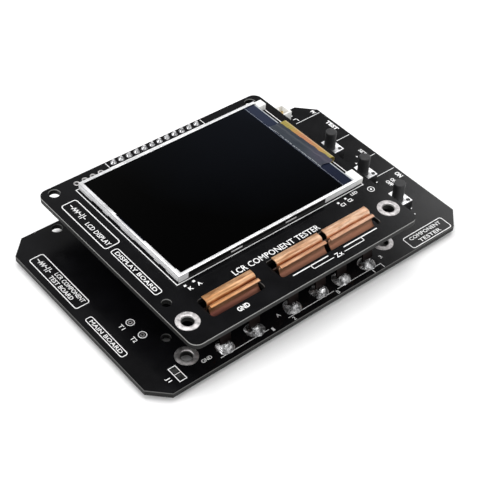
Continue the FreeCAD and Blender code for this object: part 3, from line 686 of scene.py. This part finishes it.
def ring_bead(mesh, centre, face, radius):
    """Plating flowed round a mounting hole: a rounded lip at the hole, thinning out over the ring."""
    lip, rim = 1.66, radius - 0.1
    profile = [(lip, -0.9), (lip - 0.05, -0.1), (lip + 0.02, 0.08), (lip + 0.18, 0.17), (lip + 0.45, 0.19),
               (lip + 0.8, 0.13), (rim, 0.07), (rim, 0.04), (lip + 0.1, 0.04), (lip, -0.9)]
    spin_profile(mesh, centre, [(across, face + height) for across, height in profile], 48)


def pin_grid(node):
    """Centres in plan of a node's separate solids."""
    mesh = bmesh.new()
    mesh.from_mesh(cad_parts[node].data)
    bmesh.ops.remove_doubles(mesh, verts=mesh.verts, dist=1e-6)
    left = set(mesh.verts)
    centres = []
    while left:
        grown = [left.pop()]
        island = []
        while grown:
            vert = grown.pop()
            island.append(vert.co.copy())
            for edge in vert.link_edges:
                other = edge.other_vert(vert)
                if other in left:
                    left.remove(other)
                    grown.append(other)
        xs, ys = [co.x for co in island], [co.y for co in island]
        centres.append(((max(xs) + min(xs)) / 2 / MM, (max(ys) + min(ys)) / 2 / MM))
    mesh.free()
    return sorted(centres)


def make_clip_solder(material):
    mesh = bmesh.new()
    for index, centre in enumerate(pin_grid("clip_tabs")):
        solder_cone(mesh, centre, DECK, 1, 2.35, 1.0, 1.55, 0.34, 3.1 * index + 0.7)
        solder_cone(mesh, centre, UNDER, -1, 1.35, 0.5, 0.95, 0.14, 1.7 * index + 9.0)
    piece = make_piece(mesh, "clip_solder", "base", "solder", material, smooth=80)
    flowed = piece.modifiers.new("flowed", "SUBSURF")
    flowed.levels = flowed.render_levels = 1
    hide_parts("clip_solder_joints")


def make_pin_solder(material, bright_material):
    """Solder of the through pins: under the main board, and on top of the display board."""
    under = bmesh.new()
    for index, centre in enumerate(pin_grid("board_solder_joints")):
        solder_cone(under, centre, UNDER, -1, 0.92, 0.36, 0.95, 0.1, 2.3 * index + 4.0, 20)
    piece = make_piece(under, "board_solder", "base", "solder", material, smooth=50)
    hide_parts("board_solder_joints")

    above = bmesh.new()
    for index, centre in enumerate(pin_grid("header_solder_joints")):
        solder_cone(above, centre, DISPLAY_DECK, 1, 0.9, 0.4, 0.75, 0.1, 1.9 * index + 2.0, 20)
    piece = make_piece(above, "header_solder", "display", "solder", bright_material, smooth=50)
    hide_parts("header_solder_joints")


def make_main_pads(material, aged_material):
    pads = bmesh.new()
    for centre in pin_grid("clip_tabs"):
        draw_ring(pads, centre, 2.4, 0.3, DECK, 28, 0.015)
    for _, centre in TEST_POINTS:
        draw_ring(pads, centre, 0.6, 0.3, DECK, 28, 0.03)
    make_piece(pads, "main_board_pads", "base", "plated_metal", material)

    jumper = bmesh.new()
    half_depth = 0.85
    for depth in (-27.1, -29.5):
        add_block(jumper, (-43.95, depth - half_depth, DECK), (-42.6, depth + half_depth, DECK + 0.03))
    make_piece(jumper, "main_board_jumper_pads", "base", "plated_metal", aged_material)


def make_ring_beads(body, node, face, material):
    beads = bmesh.new()
    lows, highs = low(node), high(node)
    radius = (highs.y - lows.y) / 2
    for across in (lows.x + radius, highs.x - radius):
        ring_bead(beads, (across, (lows.y + highs.y) / 2), face, radius)
    make_piece(beads, f"{node}_bead", body, "plated_metal", material, smooth=60)


def make_spare_pads(material):
    """Four unused pads in line with the header pins."""
    first, depth = -31.4, 30.1
    spare = bmesh.new()
    for number in range(4):
        draw_ring(spare, (first + number * PIN_PITCH, depth), 0.85, 0.5, DISPLAY_DECK, 24, 0.03)
    make_piece(spare, "display_board_pads", "display", "plated_metal", material)


# --- small parts -------------------------------------------------------------------------------

def make_header_shell(material):
    """Header strip with a V notch between each two pins, where it is meant to snap."""
    half_width, depth = 0.38, 0.34
    lows, highs = low("header_strip"), high("header_strip")
    mesh = bmesh.new()
    add_block(mesh, lows, highs)
    for number in range(1, round((highs.x - lows.x) / PIN_PITCH)):
        seam = lows.x + number * PIN_PITCH
        for across in (seam - half_width, seam, seam + half_width):
            bmesh.ops.bisect_plane(mesh, geom=mesh.verts[:] + mesh.edges[:] + mesh.faces[:], dist=1e-5,
                                   plane_co=(across, 0, 0), plane_no=(1, 0, 0))
        for vert in mesh.verts:
            if abs(vert.co.x - seam) < 1e-3:
                vert.co.y += depth if vert.co.y < middle("header_strip").y else -depth
    sharp = [edge for edge in mesh.edges if edge.calc_face_angle(0) > math.radians(40)]
    bmesh.ops.bevel(mesh, geom=sharp, offset=0.06, segments=2, affect="EDGES", profile=0.5, material=-1,
                    clamp_overlap=True)
    piece = make_piece(mesh, "header_shell", "display", "black_plastic", material, smooth=35)
    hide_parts("header_strip")


def make_chip_parts(node, name, slot, shell, caps):
    """Chip resistors or capacitors: a body between two wrapped metal ends."""
    mesh = bmesh.new()
    top = high(node).z
    length, width = {"resistors": (1.6, 0.8), "ceramic_capacitors": (2.0, 1.25)}[node]
    half, side = length / 2, width / 2
    for x, y in pin_grid(node):
        add_block(mesh, (x - half + 0.3, y - side + 0.02, DECK + 0.02),
                  (x + half - 0.3, y + side - 0.02, top - 0.03), 0.02, 1, 0)
        for low_x, high_x in ((x - half, x - half + 0.34), (x + half - 0.34, x + half)):
            add_block(mesh, (low_x, y - side, DECK), (high_x, y + side, top), 0.05, 2, 1)
    piece = make_piece(mesh, name, "base", slot, shell, caps, smooth=40)
    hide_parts(node)


def make_dome(name, steel):
    """Snap dome under a switch stem, made in its raised rest shape; the real one flattens as its button is
    pressed.
    """
    node = f"switch_{name}_dome"
    foot, top = low(node).z, high(node).z
    radius = (high(node).x - low(node).x) / 2
    centre = middle(node)
    rise = top - foot
    outer = [(0.97, 0.08), (0.86, 0.42), (0.62, 0.76), (0.32, 0.95), (0.0, 1.0)]
    inner = [(0.0, 0.86), (0.32, 0.81), (0.6, 0.63), (0.82, 0.3), (0.92, 0.0), (1.0, 0.0)]
    profile = [(radius * across, foot + rise * share) for across, share in inner + outer]
    mesh = bmesh.new()
    spin_profile(mesh, (centre.x, centre.y), profile, 32)
    piece = make_piece(mesh, f"switch_{name}_snap_dome", "base", "plated_metal", steel, smooth=40)
    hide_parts(node)
    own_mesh(piece)


def make_screen_frame(steel, tape, wall):
    """Pressed frame: a stepped rim with rolled edges, tabbed left and back walls, and a taped front wall."""
    lows, highs = low("screen_frame"), high("screen_frame")
    left, right, front, back, top = lows.x, highs.x, lows.y, highs.y, highs.z
    sheet, rim = 0.25, 0.9
    mesh = bmesh.new()
    outline = [(left, front), (right, front), (right, front + rim), (left + 1.2, front + rim),
               (left + 1.2, -11.7), (left + 0.95, -11.7), (left + 0.95, 0.5), (left + 0.65, 0.5),
               (left + 0.65, 12.5), (left + 0.95, 12.5), (left + 0.95, back - rim), (right, back - rim),
               (right, back), (left, back)]
    corners = [mesh.verts.new((x, y, top - sheet)) for x, y in outline]
    face = mesh.faces.new(corners)
    raised = bmesh.ops.extrude_face_region(mesh, geom=[face], use_keep_orig=True)["geom"]
    bmesh.ops.translate(mesh, vec=(0, 0, sheet), verts=verts_in(raised))
    bmesh.ops.recalc_face_normals(mesh, faces=mesh.faces)
    rolled = [edge for edge in mesh.edges if all(vert.co.z > top - 0.01 for vert in edge.verts)]
    bmesh.ops.bevel(mesh, geom=rolled, offset=0.16, segments=4, affect="EDGES", profile=0.5, material=-1,
                    clamp_overlap=True)
    under = top - 0.12
    wall_foot = lows.z + 0.45
    add_block(mesh, (left, front + 0.05, wall_foot), (left + sheet, back - 0.05, under), 0.05, paint=2)
    for start, end in ((-13.8, -9.2), (-6.5, -4.4), (4.0, 9.4), (15.0, 17.2), (22.0, 27.4)):
        add_block(mesh, (left, start, lows.z + 0.08), (left + sheet, end, wall_foot + 0.2), 0.05, paint=2)
    add_block(mesh, (left + 0.05, back - sheet, wall_foot), (right - 0.05, back, under), 0.05)
    for start, end in ((-31.8, -24.0), (-12.0, -6.0), (4.0, 10.0), (19.0, 26.3)):
        add_block(mesh, (start, back - sheet, lows.z + 0.08), (end, back, wall_foot + 0.2), 0.05)
    add_block(mesh, (left, front, lows.z + 0.1), (left + 2.9, front + sheet, under), 0.05, paint=2)
    add_block(mesh, (left + 2.9, front + 0.03, lows.z + 0.1), (15.2, front + sheet, under), 0.05, paint=1)
    for start, end in ((-16.2, -12.6), (1.6, 5.2)):
        add_block(mesh, (start, front - 0.02, 16.05), (end, front + 0.1, 16.45), 0.04, paint=2)
    add_block(mesh, (15.2, front, lows.z + 0.4), (right, front + sheet, under), 0.05, paint=2)
    add_block(mesh, (18.2, front - 0.03, 16.2), (21.6, front + 0.1, 16.6), 0.04, paint=2)
    piece = make_piece(mesh, "screen_frame_shell", "display", "screen_steel", steel, tape, wall, smooth=40)
    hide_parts("screen_frame")


def make_screen_ledge(film, ground):
    """Creased film over the driver chip on the glass ledge, with a painted highlight along the film's left
    edge, and the ground edges of the glass.
    """
    columns, rows = 40, 70
    ledge = high("screen_rear_glass")
    panel = high("screen_front_glass")
    lows, highs = low("screen_chip_film"), high("screen_chip_film")
    extent = highs - lows
    mesh = bmesh.new()
    centre = Vector(((lows.x + highs.x) / 2, (lows.y + highs.y) / 2, 0))
    place = Matrix.Translation(centre) @ Matrix.Diagonal((extent.x, extent.y, 1, 1))
    bmesh.ops.create_grid(mesh, x_segments=columns, y_segments=rows, size=0.5, matrix=place)
    mesh.faces.index_update()
    for vert in mesh.verts:
        across = (vert.co.x - lows.x) / extent.x
        toward_front = (highs.y - vert.co.y) / extent.y
        drop = min(1.0, max(0.0, (across - 0.5) / 0.25))
        crease = noise.noise(Vector((vert.co.x * 0.9, vert.co.y * 0.5, 3.0)))
        vert.co.z = lows.z + 0.03 - 0.19 * drop * drop * (3 - 2 * drop) + 0.045 * abs(crease)
        inner = noise.noise(Vector((0, vert.co.y * 0.35, 8.0)))
        outer = noise.noise(Vector((0, vert.co.y * 0.5, 2.0)))
        vert.co.x += (1 - across) * (0.4 * inner + 0.15) + across * (0.1 + 0.85 * toward_front + 0.3 * outer)
        vert.co.y += 0.6 * noise.noise(Vector((across * 3.0, vert.co.y * 0.1, 5.0)))
    # Painted highlight: a broken run of the film's leftmost faces takes the light ground-glass material, as a
    # light line along its creased edge.
    for face in mesh.faces:
        if face.index % columns == 0 and noise.noise(Vector((0, face.index * 0.011, 4.0))) > -0.12:
            face.material_index = 1
    bmesh.ops.solidify(mesh, geom=mesh.faces[:] + mesh.edges[:] + mesh.verts[:], thickness=0.04)
    bmesh.ops.recalc_face_normals(mesh, faces=mesh.faces)
    piece = make_piece(mesh, "screen_ledge_film", "display", "tape", film, ground, smooth=60)
    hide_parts("screen_chip_film")

    edges = bmesh.new()
    deck = low("screen_front_glass").z
    front, back = low("screen_rear_glass").y, high("screen_rear_glass").y
    add_block(edges, (panel.x - 0.02, front, deck - 0.02), (panel.x + 0.06, back, panel.z), 0.02)
    foot = low("screen_rear_glass").z + 0.05
    for first, last in ((-13.4, lows.y + 0.4), (highs.y - 0.4, 26.6)):
        add_block(edges, (ledge.x - 0.08, first, foot), (ledge.x + 0.16, last, ledge.z + 0.1), 0.03)
    make_piece(edges, "screen_glass_edges", "display", "screen_glass", ground, smooth=40)


def rounded_chain(points, share=0.45, steps=6):
    """Points of a line whose corners are eased by a curve that starts a share of each side away."""
    chain = [Vector(points[0])]
    for before, corner, after in zip(points, points[1:], points[2:]):
        corner = Vector(corner)
        start = corner.lerp(Vector(before), share)
        end = corner.lerp(Vector(after), share)
        for step in range(steps + 1):
            part = step / steps
            chain.append(start.lerp(corner, part).lerp(corner.lerp(end, part), part))
    chain.append(Vector(points[-1]))
    return chain


def make_clip_leaf(node, profile, material):
    """A test clip leaf: a curved full-width mouth on two narrow legs, from a profile of (Y, Z) points."""
    thickness, leg_top, leg_middle, leg_half = 0.4, 8.4, 4.6, 1.7
    lows, highs = low(node), high(node)
    centre, half = (lows.x + highs.x) / 2, (highs.x - lows.x) / 2
    inside, outside = leg_middle - leg_half, leg_middle + leg_half
    stops = [-half, -outside, -inside, inside, outside, half]
    mesh = bmesh.new()
    foot, shoulder = (Vector(point) for point in profile[:2])
    knee = foot.lerp(shoulder, (leg_top - foot.y) / (shoulder.y - foot.y))
    chain = [foot, knee] + rounded_chain([knee] + [Vector(point) for point in profile[1:]])[1:]
    verts = [mesh.verts.new((centre + stops[0], point.x, DECK + point.y)) for point in chain]
    edges = [mesh.edges.new(pair) for pair in zip(verts, verts[1:])]
    for before, after in zip(stops, stops[1:]):
        made = bmesh.ops.extrude_edge_only(mesh, edges=edges)["geom"]
        edges = [item for item in made if isinstance(item, bmesh.types.BMEdge)]
        bmesh.ops.translate(mesh, vec=(after - before, 0, 0), verts=verts_in(made))
    between = [face for face in mesh.faces if face.calc_center_median().z < DECK + leg_top - 0.01
               and abs(abs(face.calc_center_median().x - centre) - leg_middle) > leg_half]
    bmesh.ops.delete(mesh, geom=between, context="FACES")
    bmesh.ops.recalc_face_normals(mesh, faces=mesh.faces)
    piece = make_piece(mesh, f"{node}_sheet", node.replace("_clip", ""), "copper_alloy", material, smooth=50)
    solid = piece.modifiers.new("thickness", "SOLIDIFY")
    solid.thickness = thickness * MM
    solid.offset = 0
    rounding = piece.modifiers.new("edges", "BEVEL")
    rounding.width = 0.06 * MM
    rounding.segments = 2
    rounding.limit_method = "ANGLE"
    rounding.angle_limit = math.radians(50)
    rounding.harden_normals = True
    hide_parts(node)


def make_clips(material):
    front = [(-28.6, 1.68), (-27.3, 9.9), (-25.8, 10.85), (-24.98, 12.4), (-25.35, 13.6), (-26.3, 13.35)]
    back = [(-21.1, 1.68), (-22.6, 9.9), (-24.0, 10.85), (-24.75, 12.45), (-24.2, 13.95), (-22.3, 13.85)]
    for name in ("ground", "left", "right"):
        make_clip_leaf(f"{name}_clip_front_leaf", front, material)
        make_clip_leaf(f"{name}_clip_back_leaf", back, material)


def build_pieces():
    """Every piece with its material, from the boards up to the screen."""
    tin = metal("tin_plate", (0.62, 0.62, 0.63), (0.88, 0.88, 0.89), 0.34, 700.0, 0.06)
    gold = metal("gold_plate", (0.7, 0.48, 0.2), (0.95, 0.74, 0.38), 0.2)
    steel = metal("stamped_steel", (0.75, 0.75, 0.76), (0.95, 0.95, 0.96), 0.32, 500.0, 0.06)
    solder = flowed_solder()
    rings = metal("ring_plating", (0.32, 0.31, 0.31), (0.66, 0.63, 0.63), 0.4, 1100.0, 0.14)
    black = moulded("black_nylon", (0.009, 0.009, 0.01), 0.45)
    epoxy = moulded("chip_epoxy", (0.022, 0.022, 0.023), 0.5, 2400.0)
    white = moulded("white_nylon", (0.82, 0.82, 0.8), 0.4, 1200.0, 0.04, 0.12)
    leaf = copper_leaf()
    # The last figure passed to solder_mask is the brightness of its painted edge highlight.
    paint_node("main_board", solder_mask("main_board_mask", DECK, 0.1))
    paint_node("display_board", solder_mask("display_board_mask", DISPLAY_DECK, 0.3))
    ink = print_ink()
    print_display_board(ink)
    print_main_board(ink)
    make_clip_solder(solder)
    make_pin_solder(solder, metal("pin_solder", (0.12, 0.12, 0.125), (0.6, 0.6, 0.61), 0.22, 1100.0, 0.1))
    make_main_pads(rings, metal("aged_plating", (0.02, 0.02, 0.02), (0.09, 0.09, 0.088), 0.4, 500.0))
    make_ring_beads("base", "main_board_rings", DECK, rings)
    make_ring_beads("display", "display_board_rings", DISPLAY_DECK, rings)
    make_spare_pads(rings)
    for node in ("main_board_rings", "display_board_rings"):
        paint_node(node, rings)
    for node in ("microcontroller_leads", "op_amp_leads", "analogue_switch_leads"):
        paint_node(node, tin)
    for node in ("socket_contacts", "power_connector_pins"):
        paint_node(node, gold)
    paint_node("header_pins", tin)
    make_clips(leaf)
    paint_node("clip_tabs", leaf)
    for name in ("front", "middle", "back"):
        body = f"button_{name}"
        softened(f"switch_{name}_housing", 0.08, f"switch_{name}_base", "base", "switch_plastic", black)
        softened(f"switch_{name}_cover", 0.05, f"switch_{name}_plate", "base", "switch_plate", steel)
        softened(f"switch_{name}_stem", 0.06, f"switch_{name}_plunger", body, "stem_plastic", black)
        paint_node(f"switch_{name}_terminals", tin)
        make_dome(name, steel)
    softened("socket_housing", 0.06, "socket_shell", "base", "black_plastic", black)
    make_header_shell(black)
    softened("power_connector_housing", 0.08, "power_connector_shell", "base", "white_plastic", white)
    softened("microcontroller", 0.1, "microcontroller_case", "base", "chip_package", epoxy)
    softened("op_amps", 0.1, "op_amp_cases", "base", "chip_package", epoxy)
    softened("analogue_switch", 0.1, "analogue_switch_case", "base", "chip_package", epoxy)
    softened("voltage_regulator", 0.08, "voltage_regulator_case", "base", "chip_package", epoxy)
    softened("crystal", 0.15, "crystal_can", "base", "plated_metal", steel, 3)
    softened("power_inductor", 0.12, "power_inductor_core", "base", "ferrite",
             moulded("ferrite_core", (0.09, 0.09, 0.092), 0.6, 1500.0))
    make_chip_parts("ceramic_capacitors", "capacitor_chips", "ceramic_tan",
                    moulded("fired_ceramic", (0.42, 0.3, 0.18), 0.45), tin)
    make_chip_parts("resistors", "resistor_chips", "resistor_black",
                    moulded("resistor_glaze", (0.02, 0.02, 0.022), 0.3), tin)
    softened("screen_backlight", 0.1, "screen_backlight_frame", "display", "white_plastic", white)
    make_screen_frame(metal("screen_steel", (0.85, 0.85, 0.86), (0.97, 0.97, 0.98), 0.34, 240.0, 0.04),
                      moulded("black_edge_tape", (0.004, 0.004, 0.004), 0.35, 600.0, gloss=0.15),
                      moulded("satin_steel", (0.72, 0.72, 0.73), 0.4, 300.0, 0.12, 0.06))
    make_screen_ledge(ledge_film(), moulded("ground_glass_and_film_highlight", (0.4, 0.43, 0.46), 0.5, 2500.0, 0.15, 0.1))
    paint_node("screen_rear_glass", circuit_glass())
    paint_node("screen_front_glass", circuit_glass())
    paint_node("screen_polariser", black_panel())
    paint_node("screen_driver_chip", moulded("bare_silicon", (0.03, 0.03, 0.035), 0.2, 800.0, 0.2, 0.05))
    paint_node("screen_flex_cable", flex_film())
    paint_node("screen_tape", moulded("foam_tape", (0.8, 0.8, 0.77), 0.8, 900.0))


aim_camera()
set_stage()
build_pieces()
